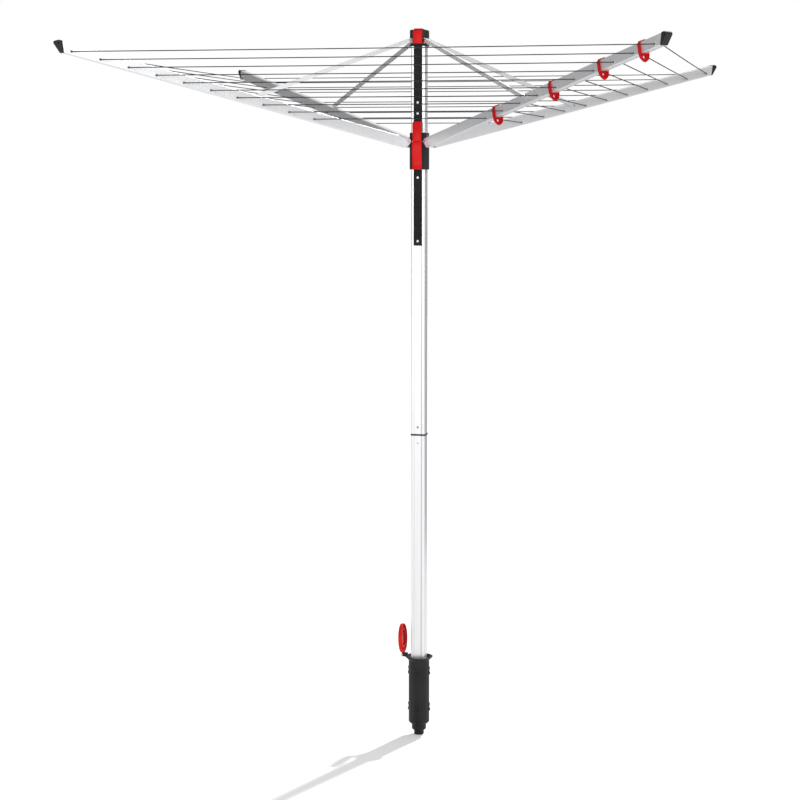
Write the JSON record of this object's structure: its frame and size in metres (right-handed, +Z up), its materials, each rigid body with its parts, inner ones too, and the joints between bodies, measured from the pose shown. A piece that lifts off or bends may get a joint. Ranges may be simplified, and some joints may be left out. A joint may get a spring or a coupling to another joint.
{
  "type": "rotary clothesline",
  "caption": "Rotary clothesline: square aluminium mast in a ground socket, sliding hub, folding arms with struts, drying lines, release lever, top cap and hanger clips.",
  "frame": {"origin": "on the mast's axis at ground level, where the socket's rim is", "axes": "+Z up along the mast; -Y is the side of the rack, release lever and button; the arms stand at 45 degrees to X and Y; the socket's lid hinges on the -X side"},
  "size_m": [1.9446, 1.9446, 2.545],
  "materials": {
    "mast_aluminium": "satin anodised",
    "arm_aluminium": "satin anodised",
    "black_plastic": "fine moulded texture",
    "red_plastic": "semi gloss",
    "clip_plastic": "semi gloss",
    "grey_plastic": "smooth",
    "white_plastic": "smooth",
    "line": "plastic-coated line",
    "steel": "zinc plated"
  },
  "bodies": {
    "socket": {"ground_socket": "black_plastic", "lid_hinge_pin": "steel"},
    "lid": {"socket_lid": "red_plastic"},
    "mast": {"mast_lower": "mast_aluminium", "mast_upper": "mast_aluminium", "joint_insert": "mast_aluminium", "joint_gasket": "black_plastic", "joint_rivet": "steel", "snap_spring": "steel", "mast_foot": "black_plastic", "mast_collar": "black_plastic", "rack_lower": "black_plastic", "rack_upper": "black_plastic", "rack_screws": "steel", "top_cap": "black_plastic", "top_cap_insert": "red_plastic"},
    "snap": {"snap_button": "grey_plastic"},
    "runner": {"runner_body": "black_plastic", "runner_glides": "grey_plastic", "lever_pin": "steel", "lever_spring": "steel"},
    "lever": {"release_lever": "red_plastic", "latch_pawl": "steel"},
    "arm_front_left": {"arm_tube_front_left": "arm_aluminium", "arm_end_cap_front_left": "black_plastic", "arm_eyelets_front_left": "white_plastic", "arm_rivets_front_left": "steel", "drying_lines_front_left": "line"},
    "strut_front_left": {"strut_front_left": "arm_aluminium", "strut_rivets_front_left": "steel"},
    "arm_front_right": {"arm_tube_front_right": "arm_aluminium", "arm_end_cap_front_right": "black_plastic", "arm_eyelets_front_right": "white_plastic", "arm_rivets_front_right": "steel", "drying_lines_front_right": "line", "hanger_clips": "clip_plastic"},
    "strut_front_right": {"strut_front_right": "arm_aluminium", "strut_rivets_front_right": "steel"},
    "arm_back_right": {"arm_tube_back_right": "arm_aluminium", "arm_end_cap_back_right": "black_plastic", "arm_eyelets_back_right": "white_plastic", "arm_rivets_back_right": "steel", "drying_lines_back_right": "line"},
    "strut_back_right": {"strut_back_right": "arm_aluminium", "strut_rivets_back_right": "steel"},
    "arm_back_left": {"arm_tube_back_left": "arm_aluminium", "arm_end_cap_back_left": "black_plastic", "arm_eyelets_back_left": "white_plastic", "arm_rivets_back_left": "steel", "drying_lines_back_left": "line"},
    "strut_back_left": {"strut_back_left": "arm_aluminium", "strut_rivets_back_left": "steel"}
  },
  "joints": [
    {"name": "lid_hinge", "type": "hinge", "parent": "socket", "child": "lid", "pos_m": [-0.06, 0, 0.004], "axis": [0, -1, 0], "range_deg": [-6, 80]},
    {"name": "mast_spin", "type": "hinge", "parent": "socket", "child": "mast", "pos_m": [0, 0, 0], "axis": [0, 0, 1], "continuous": true},
    {"name": "snap_press", "type": "slide", "parent": "mast", "child": "snap", "axis": [0, 1, 0], "range_m": [0, 0.003], "stiffness_N_per_m": 800, "springref_m": -0.002, "deforming": ["snap_spring"]},
    {"name": "runner_slide", "type": "slide", "parent": "mast", "child": "runner", "axis": [0, 0, -1], "range_m": [0, 0.9193]},
    {"name": "release_lever_hinge", "type": "hinge", "parent": "runner", "child": "lever", "pos_m": [0, -0.035, 1.861], "axis": [-1, 0, 0], "range_deg": [0, 6], "stiffness_Nm_per_rad": 4, "springref_deg": -5.73, "deforming": ["lever_spring"]},
    {"name": "arm_hinge_front_left", "type": "hinge", "parent": "runner", "child": "arm_front_left", "pos_m": [-0.03868, -0.03868, 1.862], "axis": [-0.7071, 0.7071, 0], "range_deg": [0, 76.1], "deforming": ["drying_lines_front_left"]},
    {"name": "strut_hinge_front_left", "type": "hinge", "parent": "mast", "child": "strut_front_left", "pos_m": [-0.03041, -0.02828, 2.212], "axis": [0.7071, -0.7071, 0], "range_deg": [0, 70.6]},
    {"name": "arm_hinge_front_right", "type": "hinge", "parent": "runner", "child": "arm_front_right", "pos_m": [0.03868, -0.03868, 1.862], "axis": [-0.7071, -0.7071, 0], "range_deg": [0, 76.1], "deforming": ["drying_lines_front_right"]},
    {"name": "strut_hinge_front_right", "type": "hinge", "parent": "mast", "child": "strut_front_right", "pos_m": [0.02828, -0.03041, 2.212], "axis": [0.7071, 0.7071, 0], "range_deg": [0, 70.6]},
    {"name": "arm_hinge_back_right", "type": "hinge", "parent": "runner", "child": "arm_back_right", "pos_m": [0.03868, 0.03868, 1.862], "axis": [0.7071, -0.7071, 0], "range_deg": [0, 76.1], "deforming": ["drying_lines_back_right"]},
    {"name": "strut_hinge_back_right", "type": "hinge", "parent": "mast", "child": "strut_back_right", "pos_m": [0.03041, 0.02828, 2.212], "axis": [-0.7071, 0.7071, 0], "range_deg": [0, 70.6]},
    {"name": "arm_hinge_back_left", "type": "hinge", "parent": "runner", "child": "arm_back_left", "pos_m": [-0.03868, 0.03868, 1.862], "axis": [0.7071, 0.7071, 0], "range_deg": [0, 76.1], "deforming": ["drying_lines_back_left"]},
    {"name": "strut_hinge_back_left", "type": "hinge", "parent": "mast", "child": "strut_back_left", "pos_m": [-0.02828, 0.03041, 2.212], "axis": [-0.7071, -0.7071, 0], "range_deg": [0, 70.6]}
  ],
  "couplings": [
    {"joint": "arm_hinge_front_left", "follows": "runner_slide", "rad_per_m": 1.4438},
    {"joint": "strut_hinge_front_left", "follows": "runner_slide", "rad_per_m": 1.3385},
    {"joint": "arm_hinge_front_right", "follows": "runner_slide", "rad_per_m": 1.4438},
    {"joint": "strut_hinge_front_right", "follows": "runner_slide", "rad_per_m": 1.3385},
    {"joint": "arm_hinge_back_right", "follows": "runner_slide", "rad_per_m": 1.4438},
    {"joint": "strut_hinge_back_right", "follows": "runner_slide", "rad_per_m": 1.3385},
    {"joint": "arm_hinge_back_left", "follows": "runner_slide", "rad_per_m": 1.4438},
    {"joint": "strut_hinge_back_left", "follows": "runner_slide", "rad_per_m": 1.3385}
  ]
}
